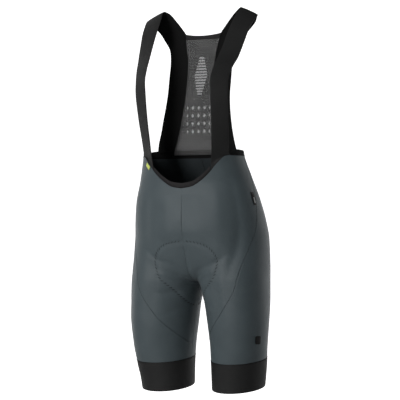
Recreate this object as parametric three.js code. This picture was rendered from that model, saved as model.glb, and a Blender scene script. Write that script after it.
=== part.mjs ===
// Cycling bib shorts, filled out as if worn, with no wearer. Millimetres, +Z up.
// The front faces -Y and the wearer's left is +X. The origin lies between the tops of the two shoulder
// straps, where the wearer's shoulders hold the garment up.
import * as THREE from 'three';

// Driving sizes
const SEAM_GAP = 0.3;
const FABRIC_WALL = 1.6;
const GRIPPER_WALL = 1.9;
const BINDING_WALL = 2.2;
const BAND_WALL = 1.8;
const STRAP_WALL = 1.8;
const MESH_WALL = 1.2;
const LABEL_WALL = 1.0;
const CROTCH_Z = -643;
const GRIPPER_TOP_Z = -824.5;
const HEM_Z = -894;
const HEM_TILT = 0.2;
const WARP_TOP_Z = -500;
const BAND_BOTTOM_Z = -346.6;
const BAND_SIDE_TOP_Z = -334.6;
const BAND_BACK_TOP_Z = -329.4;
const MESH_TOP_Z = -60;
const MESH_BOTTOM_Z = -341;
const MESH_LAP = 2.3;
const BACK_BINDING = { middle: 7.4, end: 12.6 };
const BINDING_CLEARANCE = 0.4;
const STRAP_BASE = { neck: 0.183, arm: 0.339, clearance: 0.7 };
const FRONT_COLUMNS = 14;
const BACK_COLUMNS = 20;

// Horizontal sections of the hips: half width, depth to the front and to the back of the section's centre,
// and how square the front half is (2 is an ellipse).
const TORSO = [
  { z: -325, halfWidth: 127, front: 87, back: 23, centreY: -37, square: 2.2 },
  { z: -345, halfWidth: 130, front: 86, back: 28, centreY: -36, square: 2.2 },
  { z: -401, halfWidth: 145.5, front: 84, back: 51, centreY: -25, square: 2.2 },
  { z: -449, halfWidth: 159.5, front: 91, back: 75, centreY: -17, square: 2.2 },
  { z: -497, halfWidth: 168, front: 102, back: 92, centreY: -7, square: 2.1 },
  { z: -545, halfWidth: 172.5, front: 109, back: 100, centreY: 0, square: 2 },
  { z: -600, halfWidth: 175, front: 109, back: 100, centreY: 0, square: 2 },
  { z: -643, halfWidth: 176, front: 109, back: 100, centreY: 0, square: 2 },
];

// How much of the hip section is left at the centre front, the side and the centre back, as the hips part
// into two legs. narrow says how closely the centre values keep to the centre line.
const CLOSING = [
  { z: -500, front: 1.0, side: 1.0, back: 1.0, narrow: 1 },
  { z: -520, front: 0.985, side: 0.96, back: 1.0, narrow: 1.2 },
  { z: -545, front: 0.92, side: 0.84, back: 0.99, narrow: 1.6 },
  { z: -570, front: 0.83, side: 0.66, back: 0.95, narrow: 2.2 },
  { z: -595, front: 0.745, side: 0.42, back: 0.87, narrow: 3.2 },
  { z: -614, front: 0.66, side: 0.22, back: 0.76, narrow: 5 },
  { z: -625, front: 0.58, side: 0.12, back: 0.64, narrow: 8 },
  { z: -634, front: 0.46, side: 0.04, back: 0.48, narrow: 14 },
  { z: -640, front: 0.28, side: 0.005, back: 0.28, narrow: 24 },
  { z: -643, front: 0.0, side: 0.0, back: 0.0, narrow: 36 },
];

// Horizontal sections of the left leg: centre, mean radius, how far the oval leans and where its inseam is.
const LEG = [
  { z: -500, centreX: 86, centreY: 0, radius: 86, lean: -1, inseam: 0 },
  { z: -600, centreX: 88.7, centreY: 0, radius: 86.3, lean: -3, inseam: 0 },
  { z: -643, centreX: 91, centreY: 0, radius: 85.2, lean: -4.5, inseam: 0 },
  { z: -650, centreX: 91.6, centreY: 0, radius: 84.8, lean: -4.7, inseam: 3.5 },
  { z: -665, centreX: 93, centreY: 0, radius: 83.8, lean: -5, inseam: 8 },
  { z: -688, centreX: 95, centreY: 0, radius: 82, lean: -5.3, inseam: 13 },
  { z: -737, centreX: 98, centreY: 0, radius: 78, lean: -7.1, inseam: 20 },
  { z: -794, centreX: 98.8, centreY: 1, radius: 72, lean: -6, inseam: 27 },
  { z: -837, centreX: 97.6, centreY: 3, radius: 68.5, lean: -3, inseam: 29.3 },
  { z: -881, centreX: 94.8, centreY: 6, radius: 64.6, lean: -0.7, inseam: 30.3 },
  { z: -915, centreX: 93, centreY: 7, radius: 62.5, lean: 0, inseam: 30.8 },
];

// Upper edge of the panels: the front dips between the straps. turn is 0 at centre front, 1 at centre back.
const TOP_EDGE = [
  { turn: 0.0, z: -424 },
  { turn: 0.056, z: -419.5 },
  { turn: 0.111, z: -406 },
  { turn: 0.167, z: -388 },
  { turn: 0.222, z: -369 },
  { turn: 0.261, z: -358 },
  { turn: 0.3, z: -349 },
  { turn: 0.34, z: -347 },
  { turn: 1.0, z: -347 },
];

// The side seam starts at the side of the waist and sweeps forward over the thigh to the inseam.
const SIDE_SEAM = [
  { z: -347, turn: 0.503 },
  { z: -372, turn: 0.5 },
  { z: -403, turn: 0.488 },
  { z: -432, turn: 0.467 },
  { z: -463, turn: 0.444 },
  { z: -487, turn: 0.425 },
  { z: -525, turn: 0.389 },
  { z: -559, turn: 0.357 },
  { z: -597, turn: 0.336 },
  { z: -645, turn: 0.318 },
  { z: -667, turn: 0.3 },
  { z: -688, turn: 0.272 },
  { z: -713, turn: 0.231 },
  { z: -734, turn: 0.192 },
  { z: -751, turn: 0.153 },
  { z: -768, turn: 0.106 },
  { z: -783, turn: 0.054 },
  { z: -794, turn: 0.0 },
];

// Rows of the panels, as heights at the side. Above WARP_TOP_Z they fan out to the upper edge.
const UPPER_ROWS = 6;
const MIDDLE_ROWS = [
  -525, -548, -570, -590, -607, -620, -629, -635, -639.5, -643,
  -648, -656, -668, -684, -703, -722, -740, -755, -769, -781, -788.5, -793,
];
const LOWER_ROWS = [-795.5, -803];

// Left strap, front part, from its base up to the top of the shoulder: middle line, width, how far its
// face turns outwards and how far it rolls down towards the arm, in degrees.
const STRAP_FRONT = [
  { x: 97, y: -96, z: -343, width: 43, turn: 38, roll: 0 },
  { x: 99, y: -100, z: -314, width: 42, turn: 36, roll: 0 },
  { x: 102.5, y: -110, z: -257, width: 41, turn: 31, roll: 0 },
  { x: 104.5, y: -118, z: -199, width: 41, turn: 27, roll: 0 },
  { x: 105.5, y: -117, z: -167, width: 43, turn: 31, roll: 0 },
  { x: 108.5, y: -105, z: -141, width: 45, turn: 29, roll: 1 },
  { x: 113, y: -86, z: -115, width: 47, turn: 26, roll: 4 },
  { x: 116, y: -71, z: -91.5, width: 46, turn: 20, roll: 7 },
  { x: 118, y: -57, z: -68, width: 46.5, turn: 14, roll: 12 },
  { x: 120.3, y: -42, z: -44.5, width: 47.5, turn: 6, roll: 16.5 },
  { x: 123.3, y: -23, z: -20.5, width: 49, turn: 1, roll: 21.5 },
  { x: 126.5, y: 0.5, z: 0, width: 50, turn: 0, roll: 25 },
];

// Left strap, back part, from the top of the shoulder down to the waistband: its two edges.
const STRAP_BACK = [
  { neckX: 91, neckY: 7.5, neckZ: 4.5, armX: 142.5, armY: 8, armZ: -15.5 },
  { neckX: 76, neckY: 8, neckZ: -11, armX: 133, armY: 16, armZ: -26 },
  { neckX: 57, neckY: 9, neckZ: -34, armX: 116.5, armY: 17, armZ: -43 },
  { neckX: 46, neckY: 8.5, neckZ: -50, armX: 102.3, armY: 11, armZ: -62 },
];

// Left strap where it lies on the back: how far its edges are from the centre back.
const STRAP_ON_BACK = [
  { z: -86, neckX: 38, armX: 86.5 },
  { z: -113, neckX: 33.5, armX: 83.3 },
  { z: -156, neckX: 32, armX: 83.5 },
  { z: -199, neckX: 33, armX: 84 },
  { z: -230, neckX: 36.5, armX: 87 },
  { z: -257, neckX: 41, armX: 91 },
  { z: -285, neckX: 46.5, armX: 95.6 },
  { z: -314, neckX: 54.5, armX: 102 },
  { z: -329, neckX: 60, armX: 105 },
];

// Upper back: depth of the centre back line and how fast the surface comes forward beside it.
const UPPER_BACK = [
  { z: -40, depth: 7, curve: 0.0002 },
  { z: -60, depth: 4, curve: 0.0002 },
  { z: -117, depth: 0, curve: 0.0003 },
  { z: -199, depth: -13, curve: 0.0006 },
  { z: -257, depth: -17.5, curve: 0.001 },
  { z: -314, depth: -16, curve: 0.0012 },
  { z: -329, depth: -14, curve: 0.0011 },
  { z: -345, depth: -9, curve: 0.001 },
];

const COLOURS = {
  stretch: 0x50585b,
  gripper: 0x232323,
  strap: 0x1f1f1f,
  mesh: 0x3e3e3e,
  binding: 0x2a2628,
  tab: 0xe9f57c,
  label: 0x141414,
};

const degrees = THREE.MathUtils.degToRad;

// Smooth value of one column at a place of the key column, through every row of the table.
function valueAt(table, key, name, place) {
  const sign = Math.sign(table[table.length - 1][key] - table[0][key]);
  let i = 0;
  while (i < table.length - 2 && (place - table[i + 1][key]) * sign > 0) i += 1;
  const slope = (a, b) => (table[b][name] - table[a][name]) / (table[b][key] - table[a][key]);
  const own = slope(i, i + 1);
  const before = i > 0 ? slope(i - 1, i) : own;
  const after = i < table.length - 2 ? slope(i + 1, i + 2) : own;
  const tangent = (p, q) => (p * q > 0 ? (2 * p * q) / (p + q) : 0);
  const step = table[i + 1][key] - table[i][key];
  const t = (place - table[i][key]) / step;
  const m0 = i > 0 ? tangent(before, own) : own;
  const m1 = i < table.length - 2 ? tangent(own, after) : own;
  if (t < 0 || t > 1) return table[i][name] + own * step * t;
  const t2 = t * t;
  const t3 = t2 * t;
  return (2 * t3 - 3 * t2 + 1) * table[i][name] + (t3 - 2 * t2 + t) * step * m0
    + (-2 * t3 + 3 * t2) * table[i + 1][name] + (t3 - t2) * step * m1;
}

const atHeight = (table, name, z) => valueAt(table, 'z', name, z);
const topEdge = (turn) => valueAt(TOP_EDGE, 'turn', 'z', Math.abs(turn));
const sideSeam = (z) => Math.max(0, atHeight(SIDE_SEAM, 'turn', z));

// Point of the outer face of the left half. Above the crotch turn runs from centre front to centre back,
// below it once round the leg from the inseam. A negative turn lies on the right half.
function bodyPoint(turn, z) {
  const hipAngle = turn * Math.PI;
  const facesFront = Math.cos(hipAngle) > 0;
  const square = facesFront ? atHeight(TORSO, 'square', z) : 2;
  const reach = (1 - Math.abs(Math.sin(hipAngle)) ** square) ** (1 / square);
  const depth = facesFront ? -atHeight(TORSO, 'front', z) : atHeight(TORSO, 'back', z);
  const hip = new THREE.Vector3(
    atHeight(TORSO, 'halfWidth', z) * Math.sin(hipAngle),
    atHeight(TORSO, 'centreY', z) + depth * reach,
    z,
  );
  if (z >= CLOSING[0].z) return hip;
  const radius = atHeight(LEG, 'radius', z);
  const lean = atHeight(LEG, 'lean', z);
  const legAngle = turn * 2 * Math.PI - Math.PI / 2;
  const centreX = atHeight(LEG, 'centreX', z);
  const nearInseam = ((1 - Math.sin(legAngle)) / 2) ** 3;
  const leg = new THREE.Vector3(
    centreX + radius * Math.sin(legAngle) - lean * Math.cos(legAngle),
    atHeight(LEG, 'centreY', z) - radius * Math.cos(legAngle) + lean * (1 + Math.sin(legAngle)) / 2,
    z,
  );
  leg.x += nearInseam * (atHeight(LEG, 'inseam', z) - centreX + radius);
  if (z <= CROTCH_Z) return leg;
  const centre = atHeight(CLOSING, facesFront ? 'front' : 'back', z);
  const nearCentre = Math.cos(hipAngle) ** 2;
  const share = THREE.MathUtils.lerp(
    atHeight(CLOSING, 'side', z),
    centre,
    nearCentre ** atHeight(CLOSING, 'narrow', z),
  );
  return leg.lerp(hip, share);
}

// Outward direction of that face. On the centre line above the crotch it stays in the centre plane.
function bodyNormal(turn, z) {
  const du = 0.002;
  const dz = 0.6;
  const along = bodyPoint(turn + du, z).sub(bodyPoint(turn - du, z));
  const up = bodyPoint(turn, z + dz).sub(bodyPoint(turn, z - dz));
  const normal = along.cross(up);
  const onCentre = Math.min(Math.abs(turn), Math.abs(turn - 1)) < 0.001;
  if (z > CROTCH_Z - 1 && onCentre) normal.x = 0;
  return normal.normalize();
}

// A closed wall between an outer and an inner grid of points, each a list of rows.
function wall(outer, inner, closed = false) {
  const rows = outer.length;
  const columns = outer[0].length;
  const positions = [];
  for (const grid of [outer, inner]) {
    for (const row of grid) {
      for (const point of row) positions.push(point.x, point.y, point.z);
    }
  }
  const at = (side, row, column) => side * rows * columns + row * columns + (column % columns);
  const faces = [];
  const quad = (a, b, c, d) => faces.push(a, b, c, a, c, d);
  const lastColumn = closed ? columns : columns - 1;
  for (let r = 0; r < rows - 1; r += 1) {
    for (let c = 0; c < lastColumn; c += 1) {
      quad(at(0, r, c), at(0, r + 1, c), at(0, r + 1, c + 1), at(0, r, c + 1));
      quad(at(1, r, c), at(1, r, c + 1), at(1, r + 1, c + 1), at(1, r + 1, c));
    }
  }
  for (let c = 0; c < lastColumn; c += 1) {
    quad(at(0, 0, c), at(0, 0, c + 1), at(1, 0, c + 1), at(1, 0, c));
    quad(at(0, rows - 1, c), at(1, rows - 1, c), at(1, rows - 1, c + 1), at(0, rows - 1, c + 1));
  }
  for (let r = 0; r < rows - 1 && !closed; r += 1) {
    quad(at(0, r, 0), at(1, r, 0), at(1, r + 1, 0), at(0, r + 1, 0));
    quad(at(0, r, columns - 1), at(0, r + 1, columns - 1), at(1, r + 1, columns - 1), at(1, r, columns - 1));
  }
  return closedGeometry(positions, faces);
}

// Geometry with its faces turned outwards.
function closedGeometry(positions, faces) {
  const corner = (i) => new THREE.Vector3(...positions.slice(3 * i, 3 * i + 3));
  let volume = 0;
  for (let i = 0; i < faces.length; i += 3) {
    volume += corner(faces[i]).dot(corner(faces[i + 1]).cross(corner(faces[i + 2])));
  }
  const index = [...faces];
  for (let i = 0; i < index.length && volume < 0; i += 3) {
    [index[i + 1], index[i + 2]] = [index[i + 2], index[i + 1]];
  }
  const geometry = new THREE.BufferGeometry();
  geometry.setAttribute('position', new THREE.Float32BufferAttribute(positions, 3));
  geometry.setIndex(index);
  geometry.computeVertexNormals();
  return geometry;
}

// Both faces of a wall that lies on the body, from its (turn, z) places.
function bodyWall(places, outside, thickness, closed = false) {
  const face = (offset) => places.map((row) => row.map(({ turn, z }) => {
    const point = bodyPoint(turn, z).addScaledVector(bodyNormal(turn, z), offset);
    const onCentre = z > CROTCH_Z - 1 && (turn < 0.02 || turn > 0.98) && turn >= 0 && turn <= 1;
    if (onCentre) point.x = Math.max(point.x, SEAM_GAP / 2);
    return point;
  }));
  return wall(face(outside), face(outside - thickness), closed);
}

// Width of half a seam gap, as a share of the turn at that height.
function gapTurn(z) {
  const girth = z < CROTCH_Z ? 2 * Math.PI * atHeight(LEG, 'radius', z) : 440;
  return SEAM_GAP / 2 / girth;
}

const hemTilt = (turn) => HEM_TILT * -atHeight(LEG, 'radius', HEM_Z) * Math.cos(turn * 2 * Math.PI - Math.PI / 2);
const gripperTop = (turn) => GRIPPER_TOP_Z + hemTilt(turn);

// Heights of a panel's rows at one turn, from its upper edge down to the leg gripper.
function rowHeights(turn) {
  const heights = [];
  for (let i = 0; i <= UPPER_ROWS; i += 1) {
    heights.push(THREE.MathUtils.lerp(topEdge(turn), WARP_TOP_Z, i / UPPER_ROWS));
  }
  heights.push(...MIDDLE_ROWS, ...LOWER_ROWS, gripperTop(turn) + SEAM_GAP / 2);
  return heights;
}

// Places of a panel between two edges, each a function of the height.
function panelPlaces(startAt, endAt, columns, rowCount) {
  const places = [];
  for (let r = 0; r < rowCount; r += 1) {
    const row = [];
    for (let c = 0; c <= columns; c += 1) {
      let turn = 0.5;
      let z = rowHeights(turn)[r];
      for (let pass = 0; pass < 4; pass += 1) {
        turn = THREE.MathUtils.lerp(startAt(z), endAt(z), c / columns);
        z = rowHeights(turn)[r];
      }
      row.push({ turn, z });
    }
    places.push(row);
  }
  return places;
}

const frontRows = UPPER_ROWS + 1 + MIDDLE_ROWS.length;
const fullRows = frontRows + LOWER_ROWS.length + 1;

function frontPanel() {
  const places = panelPlaces((z) => gapTurn(z), (z) => sideSeam(z) - gapTurn(z), FRONT_COLUMNS, frontRows);
  return bodyWall(places, 0, FABRIC_WALL);
}

function sideBackPanel() {
  const places = panelPlaces((z) => sideSeam(z) + gapTurn(z), (z) => 1 - gapTurn(z), BACK_COLUMNS, fullRows);
  return bodyWall(places, 0, FABRIC_WALL);
}

// Black band with a gripping inside, round the end of the leg.
function legGripper() {
  const columns = 28;
  const rows = 3;
  const places = [];
  for (let r = 0; r <= rows; r += 1) {
    const row = [];
    for (let c = 0; c < columns; c += 1) {
      const turn = c / columns;
      const top = gripperTop(turn) - SEAM_GAP / 2;
      row.push({ turn, z: THREE.MathUtils.lerp(top, HEM_Z + hemTilt(turn), r / rows) });
    }
    places.push(row);
  }
  return bodyWall(places, 0.2, GRIPPER_WALL, true);
}

// Elastic binding along the dip of the front, from strap to strap.
function frontNeckBinding() {
  const columns = 10;
  const end = (columns / 2 / FRONT_COLUMNS) * sideSeam(topEdge(0.5));
  const places = [];
  for (const share of [1, 0.5, 0]) {
    const row = [];
    for (let c = 0; c <= columns; c += 1) {
      const turn = THREE.MathUtils.lerp(-end, end, c / columns);
      const height = THREE.MathUtils.lerp(12, 10, Math.abs(turn) / end);
      row.push({ turn, z: topEdge(turn) + BINDING_CLEARANCE + share * height });
    }
    places.push(row);
  }
  return bodyWall(places, 0.3, BINDING_WALL);
}

// Elastic waistband, from the left strap round the back to the right strap.
function waistband() {
  const columns = 40;
  const start = STRAP_BASE.arm + 0.004;
  const places = [];
  for (const share of [1, 0.5, 0]) {
    const row = [];
    for (let c = 0; c <= columns; c += 1) {
      const turn = THREE.MathUtils.lerp(start, 2 - start, c / columns);
      const towardsBack = THREE.MathUtils.smoothstep(1 - Math.abs(1 - turn), 0.5, 0.75);
      const top = THREE.MathUtils.lerp(BAND_SIDE_TOP_Z, BAND_BACK_TOP_Z, towardsBack);
      row.push({ turn, z: THREE.MathUtils.lerp(BAND_BOTTOM_Z, top, share) });
    }
    places.push(row);
  }
  return bodyWall(places, 0.1, BAND_WALL);
}

function upperBackY(x, z) {
  return atHeight(UPPER_BACK, 'depth', z) - atHeight(UPPER_BACK, 'curve', z) * x * x;
}

const strapBasePoint = (turn) => bodyPoint(turn, topEdge(turn) + STRAP_BASE.clearance);

// The strap's two edges, row by row, from the front panel over the shoulder to the waistband.
function strapEdges() {
  const edges = [[strapBasePoint(STRAP_BASE.neck), strapBasePoint(STRAP_BASE.arm)]];
  for (const { x, y, z, width, turn, roll } of STRAP_FRONT) {
    const middle = new THREE.Vector3(x, y, z);
    const across = new THREE.Vector3(
      Math.cos(degrees(turn)) * Math.cos(degrees(roll)),
      Math.sin(degrees(turn)) * Math.cos(degrees(roll)),
      -Math.sin(degrees(roll)),
    );
    edges.push([-width / 2, width / 2].map((way) => middle.clone().addScaledVector(across, way)));
  }
  for (const row of STRAP_BACK) {
    edges.push([
      new THREE.Vector3(row.neckX, row.neckY, row.neckZ),
      new THREE.Vector3(row.armX, row.armY, row.armZ),
    ]);
  }
  for (const { z, neckX, armX } of STRAP_ON_BACK) {
    edges.push([neckX, armX].map((x) => new THREE.Vector3(x, upperBackY(x, z), z)));
  }
  return edges;
}

const throughPoints = (points) => new THREE.CatmullRomCurve3(points, false, 'centripetal');

// The strap's neck edge on the back, which the mesh and its binding follow: its point at one height.
const STRAP_CREST_ROW = STRAP_FRONT.length;
const neckLine = throughPoints(strapEdges().map(([neck]) => neck));
const lastRow = neckLine.points.length - 1;
function neckEdgeAt(z) {
  let above = STRAP_CREST_ROW / lastRow;
  let below = 1;
  for (let pass = 0; pass < 30; pass += 1) {
    const middle = (above + below) / 2;
    if (neckLine.getPoint(middle).z > z) above = middle;
    else below = middle;
  }
  const point = neckLine.getPoint(above);
  return z < point.z ? new THREE.Vector3(valueAt(STRAP_ON_BACK, 'z', 'neckX', z), 0, z) : point;
}

// Depth of the back between the straps. At its ends it meets the straps' neck edges.
function betweenStrapsY(x, z) {
  const edge = neckEdgeAt(z);
  if (z < STRAP_ON_BACK[0].z) return upperBackY(x, z);
  return upperBackY(x, z) + (edge.y - upperBackY(edge.x, z)) * (x / edge.x) ** 2;
}

// A long band, its rows spread evenly between the stations, with a slight crown across its width.
function strap() {
  const edges = strapEdges();
  const rows = 44;
  const columns = 4;
  const lines = [0, 1].map((side) => throughPoints(edges.map((edge) => edge[side])));
  const outer = [];
  const inner = [];
  for (let r = 0; r <= rows; r += 1) {
    const t = r / rows;
    const neck = lines[0].getPoint(t);
    const arm = lines[1].getPoint(t);
    const along = lines[0].getTangent(t).add(lines[1].getTangent(t)).normalize();
    const out = along.clone().cross(arm.clone().sub(neck)).normalize().negate();
    if (r === 0) out.setZ(0).normalize();
    const face = (offset) => {
      const row = [];
      for (let c = 0; c <= columns; c += 1) {
        const share = c / columns;
        const crown = 4 * share * (1 - share) * Math.sin(Math.PI * t) * 0.8;
        const turn = THREE.MathUtils.lerp(STRAP_BASE.neck, STRAP_BASE.arm, share);
        const point = r === 0 ? strapBasePoint(turn) : neck.clone().lerp(arm, share);
        row.push(point.addScaledVector(out, offset + crown));
      }
      return row;
    };
    outer.push(face(0));
    inner.push(face(-STRAP_WALL));
  }
  return wall(outer, inner);
}

// Knitted mesh between the straps on the back. Its lower end lies inside the waistband.
function meshBackPanel() {
  const rows = 18;
  const columns = 8;
  const outer = [];
  const inner = [];
  for (let r = 0; r <= rows; r += 1) {
    const z = THREE.MathUtils.lerp(MESH_TOP_Z, MESH_BOTTOM_Z, r / rows);
    const edge = neckEdgeAt(z).x - 2 * SEAM_GAP;
    const lap = MESH_LAP * THREE.MathUtils.smoothstep(-z, 300, 326);
    const face = (offset) => {
      const row = [];
      for (let c = 0; c <= columns; c += 1) {
        const x = THREE.MathUtils.lerp(edge, -edge, c / columns);
        row.push(new THREE.Vector3(x, betweenStrapsY(x, z) - SEAM_GAP - lap - offset, z));
      }
      return row;
    };
    outer.push(face(0));
    inner.push(face(MESH_WALL));
  }
  return wall(outer, inner);
}

// Binding along the top of the mesh, between the straps. It grows taller towards the straps.
function backNeckBinding() {
  const columns = 12;
  const outer = [];
  const inner = [];
  for (const share of [1, 0.5, 0]) {
    const face = (offset) => {
      const row = [];
      for (let c = 0; c <= columns; c += 1) {
        const place = 1 - (2 * c) / columns;
        const height = THREE.MathUtils.lerp(BACK_BINDING.middle, BACK_BINDING.end, place ** 2);
        const z = MESH_TOP_Z + SEAM_GAP + share * height;
        const x = place * (neckEdgeAt(z).x - 2 * SEAM_GAP);
        row.push(new THREE.Vector3(x, betweenStrapsY(x, z) - offset, z));
      }
      return row;
    };
    outer.push(face(-SEAM_GAP));
    inner.push(face(BINDING_WALL - SEAM_GAP));
  }
  return wall(outer, inner);
}

// A small flat piece that lies on a panel: size along the turn and the height, turned by an angle.
function patch({ turn, z, width, height, angle }) {
  const girth = z < CROTCH_Z ? 2 * Math.PI * atHeight(LEG, 'radius', z) : 440;
  const steps = 4;
  const places = [];
  for (let r = 0; r <= steps; r += 1) {
    const row = [];
    for (let c = 0; c <= steps; c += 1) {
      const side = (c / steps - 0.5) * width;
      const rise = (0.5 - r / steps) * height;
      const cos = Math.cos(degrees(angle));
      const sin = Math.sin(degrees(angle));
      row.push({ turn: turn + (side * cos - rise * sin) / girth, z: z + side * sin + rise * cos });
    }
    places.push(row);
  }
  return bodyWall(places, SEAM_GAP + LABEL_WALL, LABEL_WALL);
}

const HIP_LABEL = { turn: 0.434, z: -448, width: 12, height: 30, angle: 0 };
const THIGH_PATCH = { turn: 0.424, z: -779.5, width: 17, height: 19.5, angle: 0 };
const STRAP_TAB = { turn: 0.243, z: -369.5, width: 20, height: 8, angle: 33 };

const shorts = new THREE.Group();

function addPiece(name, geometry, colour, roughness, mirrored = false) {
  if (mirrored) {
    const positions = Array.from(geometry.getAttribute('position').array);
    for (let i = 0; i < positions.length; i += 3) positions[i] *= -1;
    return addPiece(name, closedGeometry(positions, Array.from(geometry.index.array)), colour, roughness);
  }
  const material = new THREE.MeshStandardMaterial({ color: colour, roughness, metalness: 0 });
  const mesh = new THREE.Mesh(geometry, material);
  mesh.name = name;
  shorts.add(mesh);
  return mesh;
}

for (const side of ['left', 'right']) {
  const mirrored = side === 'right';
  addPiece(`front_panel_${side}`, frontPanel(), COLOURS.stretch, 0.6, mirrored);
  addPiece(`side_back_panel_${side}`, sideBackPanel(), COLOURS.stretch, 0.6, mirrored);
  addPiece(`leg_gripper_${side}`, legGripper(), COLOURS.gripper, 0.75, mirrored);
  addPiece(`strap_${side}`, strap(), COLOURS.strap, 0.7, mirrored);
}
addPiece('front_neck_binding', frontNeckBinding(), COLOURS.binding, 0.6);
addPiece('waistband', waistband(), COLOURS.strap, 0.6);
addPiece('mesh_back_panel', meshBackPanel(), COLOURS.mesh, 0.8);
addPiece('back_neck_binding', backNeckBinding(), COLOURS.binding, 0.6);
addPiece('strap_tab', patch(STRAP_TAB), COLOURS.tab, 0.5, true);
addPiece('hip_label', patch(HIP_LABEL), COLOURS.label, 0.5);
addPiece('thigh_patch', patch(THIGH_PATCH), COLOURS.label, 0.5);

export default shorts;
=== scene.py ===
# %% [markdown]
# Cycling bib shorts, dressed for a photograph
#
# Bib shorts are sewn from stretch panels: two at the front, two that wrap the side and the back, a black
# elastic band round each leg end, wide shoulder straps and a knitted mesh back. Here they are filled out as
# if worn, with nobody inside. The construction model gives the pieces at their real size. This lesson
# replaces each with a thin cloth shell on the same form, adds soft creases, seams, stitching and finishes,
# and lights them as in a studio.

import math

import bmesh
import bpy
import numpy as np
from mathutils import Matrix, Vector


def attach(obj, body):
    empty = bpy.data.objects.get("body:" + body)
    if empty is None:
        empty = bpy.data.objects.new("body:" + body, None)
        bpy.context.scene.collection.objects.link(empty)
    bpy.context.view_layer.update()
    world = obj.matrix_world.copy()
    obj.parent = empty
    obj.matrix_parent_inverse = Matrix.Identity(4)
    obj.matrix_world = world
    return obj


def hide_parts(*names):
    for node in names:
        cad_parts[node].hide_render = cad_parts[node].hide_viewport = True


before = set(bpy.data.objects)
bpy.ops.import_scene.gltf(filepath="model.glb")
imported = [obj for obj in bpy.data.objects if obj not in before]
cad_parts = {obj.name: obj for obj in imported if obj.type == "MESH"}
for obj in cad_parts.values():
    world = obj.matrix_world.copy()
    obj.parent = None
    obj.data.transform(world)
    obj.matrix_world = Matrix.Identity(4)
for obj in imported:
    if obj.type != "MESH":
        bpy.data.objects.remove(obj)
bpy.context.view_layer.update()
MM = 0.001
print("pieces in the frame:", len(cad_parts))

# %% [markdown]
# The camera
#
# The photograph looks at the front from 27 degrees towards the wearer's left, from far away with a long
# lens, level with the hips. A camera at the same angle and distance gives the same outline. It is aimed a
# little above the hips, which centres the whole garment without any lens shift.

# %% Camera
AZIMUTH = math.radians(27)
CAMERA_DISTANCE = 4.7
CAMERA_HEIGHT = -0.576
AIM = Vector((-0.0043, -0.0022, -0.4486))

camera_data = bpy.data.cameras.new("camera")
camera_data.sensor_width = 36
camera_data.lens = 176.3
camera_data.clip_end = 50
camera = bpy.data.objects.new("camera", camera_data)
camera.location = (CAMERA_DISTANCE * math.sin(AZIMUTH), -CAMERA_DISTANCE * math.cos(AZIMUTH), CAMERA_HEIGHT)
camera.rotation_euler = (AIM - camera.location).to_track_quat("-Z", "Y").to_euler()
bpy.context.scene.collection.objects.link(camera)
bpy.context.scene.camera = camera
print("camera at", [round(v, 3) for v in camera.location])

# %% [markdown]
# The form of the body
#
# Horizontal sections give the hips and the legs their size. A smooth curve runs through each column of a
# table, so the cloth has no steps. Above the crotch the surface is an oval round the hips, below it an oval
# round each leg, and between the two heights one turns into the other. Sizes are in millimetres.

# %% Tables of the form
CROTCH_Z = -643
WARP_TOP_Z = -500
GRIPPER_TOP_Z = -824.5
HEM_Z = -894
HEM_TILT = 0.2
HALF_GIRTH = 440


def table(columns, rows):
    return {name: np.array([row[i] for row in rows], float) for i, name in enumerate(columns.split())}


TORSO = table("z half_width front back centre_y square", [
    (-325, 127, 87, 23, -37, 2.2),
    (-345, 130, 86, 28, -36, 2.2),
    (-401, 145.5, 84, 51, -25, 2.2),
    (-449, 159.5, 91, 75, -17, 2.2),
    (-497, 168, 102, 92, -7, 2.1),
    (-545, 172.5, 109, 100, 0, 2),
    (-600, 175, 109, 100, 0, 2),
    (-643, 176, 109, 100, 0, 2),
])
CLOSING = table("z front side back narrow", [
    (-500, 1, 1, 1, 1),
    (-520, 0.985, 0.96, 1, 1.2),
    (-545, 0.92, 0.84, 0.99, 1.6),
    (-570, 0.83, 0.66, 0.95, 2.2),
    (-595, 0.745, 0.42, 0.87, 3.2),
    (-614, 0.66, 0.22, 0.76, 5),
    (-625, 0.58, 0.12, 0.64, 8),
    (-634, 0.46, 0.04, 0.48, 14),
    (-640, 0.28, 0.005, 0.28, 24),
    (-643, 0, 0, 0, 36),
])
LEG = table("z centre_x centre_y radius lean inseam", [
    (-500, 86, 0, 86, -1, 0),
    (-600, 88.7, 0, 86.3, -3, 0),
    (-643, 91, 0, 85.2, -4.5, 0),
    (-650, 91.6, 0, 84.8, -4.7, 3.5),
    (-665, 93, 0, 83.8, -5, 8),
    (-688, 95, 0, 82, -5.3, 13),
    (-737, 98, 0, 78, -7.1, 20),
    (-794, 98.8, 1, 72, -6, 27),
    (-837, 97.6, 3, 68.5, -3, 29.3),
    (-881, 94.8, 6, 64.6, -0.7, 30.3),
    (-915, 93, 7, 62.5, 0, 30.8),
])
TOP_EDGE = table("turn z", [
    (0, -424), (0.056, -419.5), (0.111, -406), (0.167, -388), (0.222, -369),
    (0.261, -358), (0.3, -349), (0.34, -347), (1, -347),
])
SIDE_SEAM = table("z turn", [
    (-347, 0.503), (-372, 0.5), (-403, 0.488), (-432, 0.467), (-463, 0.444), (-487, 0.425),
    (-525, 0.389), (-559, 0.357), (-597, 0.336), (-645, 0.318), (-667, 0.3), (-688, 0.272),
    (-713, 0.231), (-734, 0.192), (-751, 0.153), (-768, 0.106), (-783, 0.054), (-794, 0),
])


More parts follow.
